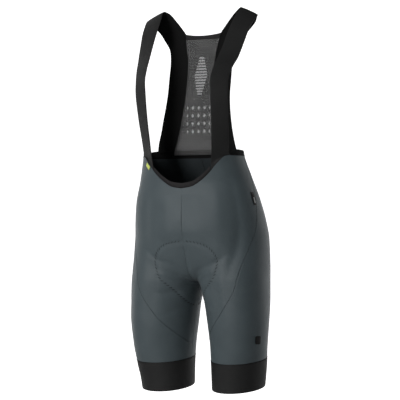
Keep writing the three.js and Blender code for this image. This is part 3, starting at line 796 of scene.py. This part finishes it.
def strap_edges():
    neck, arm = [strap_base(STRAP_BASE_NECK)], [strap_base(STRAP_BASE_ARM)]
    for x, y, z, width, turn, roll in STRAP_FRONT:
        turn, roll = math.radians(turn), math.radians(roll)
        level = math.cos(roll)
        across = np.array([math.cos(turn) * level, math.sin(turn) * level, -math.sin(roll)])
        neck.append(np.array([x, y, z]) - across * width / 2)
        arm.append(np.array([x, y, z]) + across * width / 2)
    for row in STRAP_BACK:
        neck.append(np.array(row[:3], float))
        arm.append(np.array(row[3:], float))
    for z, neck_x, arm_x in zip(*STRAP_ON_BACK.values()):
        neck.append(np.array([neck_x, float(upper_back_y(neck_x, z)), z]))
        arm.append(np.array([arm_x, float(upper_back_y(arm_x, z)), z]))
    return np.array(neck), np.array(arm)


NECK_EDGE_POINTS = 1500
NECK_EDGE = line_through(strap_edges()[0], np.linspace(0, 1, NECK_EDGE_POINTS))
NECK_EDGE_BEHIND = NECK_EDGE[NECK_EDGE[:, 2].argmax():]


def neck_edge(z):
    """Where the strap's neck edge runs down the back: its x and y at one height."""
    return [np.interp(-z, -NECK_EDGE_BEHIND[:, 2], NECK_EDGE_BEHIND[:, axis]) for axis in (0, 1)]


def between_straps_y(x, z):
    """Depth of the back between the straps. At its ends it meets the straps' neck edges."""
    edge_x, edge_y = neck_edge(z)
    return upper_back_y(x, z) + (edge_y - upper_back_y(edge_x, z)) * (x / edge_x) ** 2


def strap_grid(offset):
    """Points of the strap, their places in the cloth, and its length."""
    steps = np.linspace(0, 1, STRAP_ROWS + 1)
    neck, arm = [line_through(edge, steps) for edge in strap_edges()]
    along = unit(np.gradient(neck, axis=0) + np.gradient(arm, axis=0))
    out = -unit(np.cross(along, arm - neck))
    out[0] = unit(out[0] * [1, 1, 0])
    share = np.linspace(0, 1, STRAP_COLUMNS + 1)
    place, across = np.meshgrid(steps, share, indexing="ij")
    crown = 4 * across * (1 - across) * np.sin(np.pi * place) * STRAP_CROWN
    curl = -STRAP_CURL * (np.exp(-across * 22) + np.exp(-(1 - across) * 22))
    wrinkle = np.zeros_like(place)
    for middle, slant, length, depth in STRAP_WRINKLES:
        gap = place - middle - slant * 0.05 * (across - 0.5)
        wrinkle += depth * np.exp(-((gap / length) ** 2)) * np.sin(np.pi * across) ** 0.6
    points = neck[:, None] + (arm - neck)[:, None] * share[None, :, None]
    base = strap_base(STRAP_BASE_NECK + (STRAP_BASE_ARM - STRAP_BASE_NECK) * share)
    hold = (1 - smoothstep(steps * STRAP_ROWS, 0, 8))[:, None, None]
    points = points * (1 - hold) + (base - points[0] + points) * hold
    height = offset + crown + (curl + wrinkle) * smoothstep(place, 0, 0.02)
    run = np.concatenate([[0], np.cumsum(np.linalg.norm(np.diff((neck + arm) / 2, axis=0), axis=1))])
    place_uv = np.stack(np.broadcast_arrays(share[None, :] * STRAP_WIDTH, run[:, None]), -1)
    return points + out[:, None] * height[..., None], place_uv, run[-1]


strap_outer, strap_uv, strap_length = strap_grid(0)
strap_inner = strap_grid(-STRAP_WALL)[0]
for side in ("left", "right"):
    turned = (lambda grid: grid) if side == "left" else mirrored
    piece = shell(f"strap_cloth_{side}", turned(strap_outer), turned(strap_inner), strap_uv,
                  [strap_cloth, black_inside_painted_shade])
    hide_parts(f"strap_{side}")
    print(piece.name, "is", round(strap_length), "mm long,", round(cut_area(piece), 4), "square metres")

# %% [markdown]
# Mesh back
#
# The back between the straps is an open warp-knit mesh with pinholes, which makes it look grey against the
# light. The holes are real ones here, cut in every second cell of a grid of 1.9 mm, where the real cells
# are about 1.2 mm. The knit itself is drawn with loops of about 4 mm, as bumps and as painted shade in its
# colour, so that they can show. A plain pale print of short bars and small diamonds lies on it, and shows
# through to the inside.

# %% Mesh back panel
MESH_TOP_Z = -60
MESH_BOTTOM_Z = -341
MESH_LAP = 2.3
MESH_UNDER_STRAP = 2.5
MESH_WALL = 0.7
MESH_PITCH = 1.9
MESH_HOLE = 0.36
MESH_COLUMNS = 51
MESH_ROWS = 147


# The print, worked out from the place on the cloth in metres. Each step is a maths node, and its two
# inputs are numbers or the names of earlier steps.
PRINT_STEPS = [
    ("spread", "ABSOLUTE", "x", 0),
    ("from_middle", "ADD", "y", 0.150),
    ("away", "ABSOLUTE", "from_middle", 0),
    ("narrowing", "MULTIPLY", "away", 0.24),
    ("half_width", "SUBTRACT", 0.017, "narrowing"),
    ("on_bars", "LESS_THAN", "away", 0.046),
    ("short", "LESS_THAN", "spread", "half_width"),
    ("bar_row", "DIVIDE", "y", 0.0068),
    ("bar_share", "FRACT", "bar_row", 0),
    ("bar_line", "LESS_THAN", "bar_share", 0.6),
    ("bars_wide", "MULTIPLY", "on_bars", "short"),
    ("bars", "MULTIPLY", "bars_wide", "bar_line"),
    ("across", "PINGPONG", "x", 0.00775),
    ("across_share", "DIVIDE", "across", 0.0155),
    ("down", "PINGPONG", "y", 0.0095),
    ("down_share", "DIVIDE", "down", 0.019),
    ("diagonal", "ADD", "across_share", "down_share"),
    ("diamond", "LESS_THAN", "diagonal", 0.27),
    ("from_field", "ADD", "y", 0.262),
    ("field_away", "ABSOLUTE", "from_field", 0),
    ("field_tall", "LESS_THAN", "field_away", 0.038),
    ("field_wide", "LESS_THAN", "spread", 0.031),
    ("field", "MULTIPLY", "field_tall", "field_wide"),
    ("diamonds", "MULTIPLY", "field", "diamond"),
    ("shapes", "MAXIMUM", "bars", "diamonds"),
    ("kept", "GREATER_THAN", "wear", 0.43),
    ("cover", "MULTIPLY", "kept", 0.55),
    ("ink_cover", "ADD", "cover", 0.2),
    ("ink", "MULTIPLY", "shapes", "ink_cover"),
]


def mesh_material():
    # Its loops swing the colour between the near black and the grey below, a painted shade of the mesh's
    # relief.
    material = cloth_material(
        "open polyester mesh", "#6c6c6c", "#101010", 0.85, 4.4, 3.8, 0.5, 0.1, cloud=0.3)
    shader = material.node_tree.nodes["Principled BSDF"]
    base = shader.inputs["Base Color"].links[0].from_node
    place = add(material, "ShaderNodeUVMap", uv_map="cloth")
    split = add(material, "ShaderNodeSeparateXYZ", [("Vector", place, "UV")])
    wear = add(material, "ShaderNodeTexNoise", [("Vector", place, "UV")], {"Scale": 420, "Detail": 3})
    made = {"x": (split, "X"), "y": (split, "Y"), "wear": (wear, "Fac")}
    for name, operation, *inputs in PRINT_STEPS:
        links = [(i, *made[v]) for i, v in enumerate(inputs) if isinstance(v, str)]
        values = {i: v for i, v in enumerate(inputs) if not isinstance(v, str)}
        made[name] = (add(material, "ShaderNodeMath", links, values, operation=operation), 0)
    mix = add(material, "ShaderNodeMix", [(0, *made["ink"]), (6, base, "Color")], {7: linear("#c4c4c4")},
              data_type="RGBA")
    plug(material, mix, 2, shader, "Base Color")
    return material


mesh_cloth = mesh_material()


def mesh_point(share, z, depth):
    """The mesh runs a little way under the straps, which are sewn onto it."""
    edge = neck_edge(z)[0] + MESH_UNDER_STRAP
    x = edge * (1 - 2 * share)
    lap = MESH_LAP * smoothstep(-z, 300, 326)
    under = (STRAP_WALL + 0.3) * smoothstep(np.abs(x), edge - 9, edge - 3)
    loose = smoothstep(-z, 60, 90) * (1 - smoothstep(-z, 290, 320))
    ripple = 0.5 * np.sin(x / 17 + 0.8) * np.sin(z / 41) * loose
    y = between_straps_y(x, z) - 0.3 - np.maximum(lap, under) - depth + ripple * (1 - under / 2)
    return np.stack([x, y, z], -1)


def open_mesh(columns, rows):
    """Grid with an eight-sided hole in every second cell, on both faces, joined through the holes."""
    shares, heights = np.linspace(0, 1, columns + 1), np.linspace(MESH_TOP_Z, MESH_BOTTOM_Z, rows + 1)
    corner_share, corner_z = np.meshgrid(shares, heights)
    corners = np.stack([corner_share, corner_z], -1).reshape(-1, 2)
    index = np.arange(len(corners)).reshape(rows + 1, columns + 1)
    low_share, low_z = 1 / columns, (MESH_BOTTOM_Z - MESH_TOP_Z) / rows
    angles = np.radians(np.array([-157.5, -112.5, -67.5, -22.5, 22.5, 67.5, 112.5, 157.5]))
    ring = np.stack([np.cos(angles), np.sin(angles)], -1) * MESH_HOLE / MESH_PITCH
    places, faces, walls = [corners], [], []
    count = len(corners)
    for r in range(rows):
        for c in range(columns):
            box = [index[r, c], index[r, c + 1], index[r + 1, c + 1], index[r + 1, c]]
            at_rim = r in (0, rows - 1) or c in (0, columns - 1)
            if (r + c) % 2 or at_rim:
                faces.append(box)
                continue
            middle = np.array([(c + 0.5) * low_share, MESH_TOP_Z + (r + 0.5) * low_z])
            places.append(middle + ring * [low_share, low_z])
            hole = list(range(count, count + 8))
            count += 8
            for side in range(4):
                a, b = box[side], box[(side + 1) % 4]
                first, second = hole[(2 * side + 1) % 8], hole[(2 * side + 2) % 8]
                faces.append([a, b, second, first])
                faces.append([a, first, hole[2 * side]])
            walls.append(hole)
    rim = list(index[0]) + list(index[1:, -1]) + list(index[-1, -2::-1]) + list(index[-2:0:-1, 0])
    places = np.concatenate(places)
    total = len(places)
    back = [[v + total for v in face[::-1]] for face in faces]
    sides = []
    for loop in walls + [rim]:
        sides += [[a, b, b + total, a + total] for a, b in zip(loop, loop[1:] + loop[:1])]
    outer = mesh_point(places[:, 0], places[:, 1], 0)
    inner = mesh_point(places[:, 0], places[:, 1], MESH_WALL)
    uv = np.stack([outer[:, 0], places[:, 1]], -1)
    return np.concatenate([outer, inner]), faces + back + sides, np.concatenate([uv, uv])


points, faces, uv = open_mesh(MESH_COLUMNS, MESH_ROWS)
mesh_back = mesh_object("mesh_back_cloth", points, faces, [mesh_cloth], uv=uv)
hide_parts("mesh_back_panel")
print("mesh back has", sum(len(f) - 2 for f in faces), "triangles")

# %% [markdown]
# Back neck binding
#
# The upper edge of the mesh is bound with a narrow elastic, sewn down along both edges. It laps over the
# mesh, dips in the middle and grows taller towards the straps.

# %% Back neck binding
BACK_BINDING_MIDDLE = 7.4
BACK_BINDING_END = 12.6
BACK_BINDING_LAP = 1.6
binding_shares = np.linspace(1, 0, 15)[:, None]
place = np.linspace(1, -1, 61)[None, :]
height = BACK_BINDING_MIDDLE + (BACK_BINDING_END - BACK_BINDING_MIDDLE) * place**2
z = MESH_TOP_Z - BACK_BINDING_LAP + binding_shares * (height + BACK_BINDING_LAP)
x = place * (neck_edge(z)[0] + 1.5)
under = (STRAP_WALL + 0.2) * smoothstep(np.abs(place), 0.86, 0.95)
cushion = 0.55 * np.sin(np.pi * np.clip(binding_shares, 0.03, 0.97)) ** 0.5
sewn_down = 0.35 * np.exp(-(((np.abs(binding_shares - 0.5) - 0.36) / 0.05) ** 2))
middle_y = between_straps_y(x, z) - under
outer = np.stack([x, middle_y - 0.1 + cushion - sewn_down, z], -1)
inner = np.stack([x, middle_y - 1.5 - cushion * 0.5 + sewn_down, z], -1)
back_binding = shell("back_binding_cloth", outer, inner, np.stack([x, z], -1), [binding_cloth])
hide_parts("back_neck_binding")
print(back_binding.name, round(cut_area(back_binding), 5), "square metres")

# %% [markdown]
# Tab, label and patch
#
# Three small things lie on the cloth: a tab of bright woven tape at the strap's base, a black satin label
# at the seam of the hip with a pale block on it as a painted glint of the satin, and a small patch of thin
# black film on the thigh.

# %% Small pieces
LABEL_LIFT = 0.25
HIP_LABEL = {"turn": 0.434, "z": -448, "width": 12, "height": 30, "angle": 0}
THIGH_PATCH = {"turn": 0.424, "z": -779.5, "width": 17, "height": 19.5, "angle": 0}
STRAP_TAB = {"turn": 0.243, "z": -369.5, "width": 20, "height": 8.5, "angle": 33}


def patch(name, spot, side, materials, thickness=0.8, puff=0.3, corner=0.0, steps=28):
    u = np.linspace(-0.5, 0.5, steps + 1)
    across, down = np.meshgrid(u, u)
    squareness = 1 - corner * (np.abs(across * 2) * np.abs(down * 2)) ** 4
    sideways, rise = across * spot["width"] * squareness, -down * spot["height"] * squareness
    cos, sin = math.cos(math.radians(spot["angle"])), math.sin(math.radians(spot["angle"]))
    turn = spot["turn"] + (sideways * cos - rise * sin) / float(girth(spot["z"]))
    z = spot["z"] + sideways * sin + rise * cos
    rim = np.minimum(1 - np.abs(across * 2), 1 - np.abs(down * 2))
    raised = puff * smoothstep(rim, 0, 0.22) - 0.25 * np.exp(-(((rim - 0.16) / 0.05) ** 2))
    outer = body_grid(turn, z, LABEL_LIFT + thickness + raised, side, with_relief=False)
    inner = body_grid(turn, z, LABEL_LIFT, side, with_relief=False)
    return shell(name, outer, inner, np.stack([sideways, rise], -1), materials)


tab = patch("strap_tab_tape", STRAP_TAB, "right", [tab_cloth], thickness=0.9, puff=0.6, steps=24)
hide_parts("strap_tab")
label = patch("hip_label_tape", HIP_LABEL, "left", [label_cloth])
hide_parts("hip_label")
# The pale block on the label is a painted glint of the satin.
glint_spot = {"turn": HIP_LABEL["turn"] + 1.2 / HALF_GIRTH, "z": HIP_LABEL["z"] - 4,
               "width": 4, "height": 13, "angle": 0}
glint_piece = patch("hip_label_painted_glint", glint_spot, "left", [label_glint_paint], thickness=1.2, puff=0.2)
film = patch("thigh_patch_film", THIGH_PATCH, "left", [patch_film], thickness=0.55, puff=0.15, corner=0.12)
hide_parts("thigh_patch")
print("small pieces:", tab.name, label.name, glint_piece.name, film.name)

# %% [markdown]
# Sewing thread
#
# The panels are joined with a flat seam under a zigzag of thread, and the pad is held by a wider zigzag,
# drawn as single stitches. A narrow zigzag holds the gripper, the waistband and the front binding. Each
# line of thread is a thin tube that follows the cloth, partly sunk into it, so it casts its own shadow.

# %% Lines of thread
THREAD_RADIUS = 0.28
PAD_THREAD_RADIUS = 0.5
THREAD_SIDES = 5


def thread_tube(name, lines, material, radius=THREAD_RADIUS):
    """Tubes along several lines of points, each an (n, 3) array, joined as one piece."""
    all_points, all_faces, count = [], [], 0
    ring = np.linspace(0, 2 * np.pi, THREAD_SIDES + 1)[:-1]
    for points in lines:
        forward = unit(np.gradient(points, axis=0))
        side = unit(np.cross(forward, np.array([0.13, 0.21, 0.97])))
        up = np.cross(side, forward)
        tube = points[:, None] + radius * (
            np.cos(ring)[None, :, None] * side[:, None] + np.sin(ring)[None, :, None] * up[:, None])
        all_points.append(tube.reshape(-1, 3))
        index = np.arange(len(points) * THREAD_SIDES).reshape(-1, THREAD_SIDES) + count
        turned = np.roll(index, -1, axis=1)
        quads = np.stack([index[:-1], turned[:-1], turned[1:], index[1:]], -1).reshape(-1, 4)
        all_faces += quads.tolist() + [index[0, ::-1].tolist(), index[-1].tolist()]
        count += len(points) * THREAD_SIDES
    points = np.concatenate(all_points)
    piece = mesh_object(name, points, all_faces, [material], uv=points[:, [0, 2]])
    return piece


def stitches(path, side, width, pitch, lift, break_every=0):
    """A zigzag along a path of (place, z) in the cloth. width is across the path, pitch along it."""
    lengths = np.linalg.norm(np.diff(path, axis=0), axis=1)
    run = np.concatenate([[0], np.cumsum(lengths)])
    places = np.arange(pitch, run[-1] - pitch, pitch / 2)
    middle = np.stack([np.interp(places, run, path[:, i]) for i in (0, 1)], -1)
    forward = unit(np.gradient(middle, axis=0))
    across = np.stack([-forward[:, 1], forward[:, 0]], -1)
    sway = np.where(np.arange(len(places)) % 2 == 0, 1, -1)[:, None] * width / 2
    zigzag = middle + across * sway
    turn, z = zigzag[:, 0] / HALF_GIRTH, zigzag[:, 1]
    points = body_grid(turn, z, lift, side)
    across_centre = zigzag[:, 0] * (1 if side == "left" else -1)
    points[:, 0] = np.where(np.abs(points[:, 0]) < 1, across_centre, points[:, 0])
    if not break_every:
        return [points]
    return [points[i:i + break_every] for i in range(0, len(points) - 1, break_every)]


seam_z = np.linspace(-350, -790, 260)
seam_path = np.stack([side_seam(seam_z) * HALF_GIRTH, seam_z], -1)
for side in ("left", "right"):
    seam_lines = stitches(seam_path, side, width=1.3, pitch=1.9, lift=0.02)
    thread_tube(f"side_seam_thread_{side}", seam_lines, thread_dark)
    # The real stitch is half as coarse, and this one is drawn larger so that it can show.
    pad_lines = []
    for outline in (PAD_OUTLINE, PAD_BACK_OUTLINE):
        pad_lines += stitches(pad_path(outline), side, width=3.6, pitch=8.0, lift=0.25, break_every=2)
    thread_tube(f"pad_thread_{side}", pad_lines, thread_black, PAD_THREAD_RADIUS)

centre_lines = []
for turn_at, top, low in ((0.0, -426, -636), (1.0, -349, -637)):
    heights = np.arange(top, low, -1.0)
    sway = np.where(np.arange(len(heights)) % 2 == 0, 0.6, -0.6)
    points = body_point(np.full_like(heights, turn_at), heights)
    normal = body_normal(np.full_like(heights, turn_at), heights)
    points = points + normal * -0.3
    points[:, 0] = sway
    centre_lines.append(points)
thread_tube("centre_front_thread", centre_lines[:1], thread_grey)
thread_tube("centre_back_thread", centre_lines[1:], thread_dark)


def round_the_leg(offset, side, amplitude, count, lift):
    turn = np.linspace(0, 1, count)
    z = gripper_top(turn) + offset + np.where(np.arange(count) % 2 == 0, amplitude, -amplitude)
    return body_grid(turn, z, lift, side, with_relief=False)


for side in ("left", "right"):
    cover = round_the_leg(offset=-1.6, side=side, amplitude=0.9, count=400, lift=0.35)
    thread_tube(f"gripper_thread_{side}", [cover], thread_black)
band_lines = []
for height in (BAND_BOTTOM_Z + 1.6, BAND_BOTTOM_Z + 8.6):
    turn = np.linspace(band_start + 0.004, 2 - band_start - 0.004, 620)
    z = height + np.where(np.arange(len(turn)) % 2 == 0, 0.6, -0.6)
    band_lines.append(both_halves(turn, z, np.full_like(turn, 0.2)))
thread_tube("waistband_thread", band_lines, thread_black)
turn = np.linspace(-binding_end + 0.002, binding_end - 0.002, 260)
z = top_edge(turn) + 2.6 + np.where(np.arange(len(turn)) % 2 == 0, 0.5, -0.5)
binding_line = both_halves(turn, z, np.full_like(turn, 0.5))
thread_tube("front_binding_thread", [binding_line], thread_black)

# %% [markdown]
# Floor and studio light
#
# The garment is lit as for a catalogue on a white ground. A large softbox stands at the camera's left, a
# narrower one at the right gives the far hip and thigh a soft edge, and a weak one stands above. The pale
# paper floor rises into the wall behind without a corner. Only the paper behind the garment is lit, which
# makes the ground white and leaves the cloth its dark tones.

# %% Floor, lights and world
FLOOR_Z = -1.15
FLOOR_HALF_WIDTH = 9
LIT_START = 2.4
SWEEP_START = 3.8
SWEEP_RADIUS = 2.5

sweep_angles = np.linspace(0, math.pi / 2, 24)
profile = [(-8.0, FLOOR_Z), (LIT_START, FLOOR_Z), (SWEEP_START, FLOOR_Z)]
for angle in sweep_angles:
    rise = SWEEP_RADIUS * (1 - math.cos(angle))
    profile.append((SWEEP_START + SWEEP_RADIUS * math.sin(angle), FLOOR_Z + rise))
profile += [(SWEEP_START + SWEEP_RADIUS, 6.0)]
behind = Vector((-math.sin(AZIMUTH), math.cos(AZIMUTH), 0))
sideways = Vector((math.cos(AZIMUTH), math.sin(AZIMUTH), 0))
verts = [behind * away + sideways * way + Vector((0, 0, up)) for away, up in profile
         for way in (-FLOOR_HALF_WIDTH, FLOOR_HALF_WIDTH)]
quads = [(2 * i, 2 * i + 1, 2 * i + 3, 2 * i + 2) for i in range(len(profile) - 1)]
floor_mesh = bpy.data.meshes.new("studio_sweep")
floor_mesh.from_pydata(verts, [], quads)
floor = bpy.data.objects.new("studio_sweep", floor_mesh)
paper, paper_shader = new_material("white background paper", "#f4f4f4", 0.9, 0.2)
paper_shader.inputs["Emission Color"].default_value = (1, 1, 1, 1)
paper_shader.inputs["Emission Strength"].default_value = 1.0
floor_paper = new_material("pale floor paper", "#bcbcbc", 0.9, 0.2)[0]
floor_mesh.materials.append(paper)
floor_mesh.materials.append(floor_paper)
for polygon in floor_mesh.polygons:
    polygon.use_smooth = True
floor_mesh.polygons[0].material_index = 1
bpy.context.scene.collection.objects.link(floor)


LIT_POINT = Vector((0, 0, -0.5))


def softbox(name, azimuth, height, distance, size, power):
    """azimuth in degrees from the camera's side, positive to its right."""
    turn = AZIMUTH + math.radians(azimuth)
    data = bpy.data.lights.new(name, "AREA")
    data.shape = "RECTANGLE"
    data.size, data.size_y = size
    data.energy = power
    light = bpy.data.objects.new(name, data)
    light.location = (distance * math.sin(turn), -distance * math.cos(turn), height)
    light.rotation_euler = (LIT_POINT - light.location).to_track_quat("-Z", "Y").to_euler()
    bpy.context.scene.collection.objects.link(light)


SOFTBOXES = [
    # name, azimuth, height, distance, width and height of the box, watts
    ("key_softbox", -46, 0.3, 2.4, (0.8, 1.8), 38),
    ("edge_softbox", 105, 0.0, 2.2, (0.7, 2.0), 12),
    ("top_softbox", -10, 2.2, 2.2, (1.6, 1.2), 6),
]
for row in SOFTBOXES:
    softbox(*row)

world = bpy.data.worlds.new("white room")
bpy.context.scene.world = world
world.use_nodes = True
world.node_tree.nodes["Background"].inputs["Color"].default_value = (0.95, 0.98, 1.0, 1)
world.node_tree.nodes["Background"].inputs["Strength"].default_value = 0.07
bpy.context.scene.view_settings.view_transform = "Standard"
print("lights:", len(bpy.data.lights))
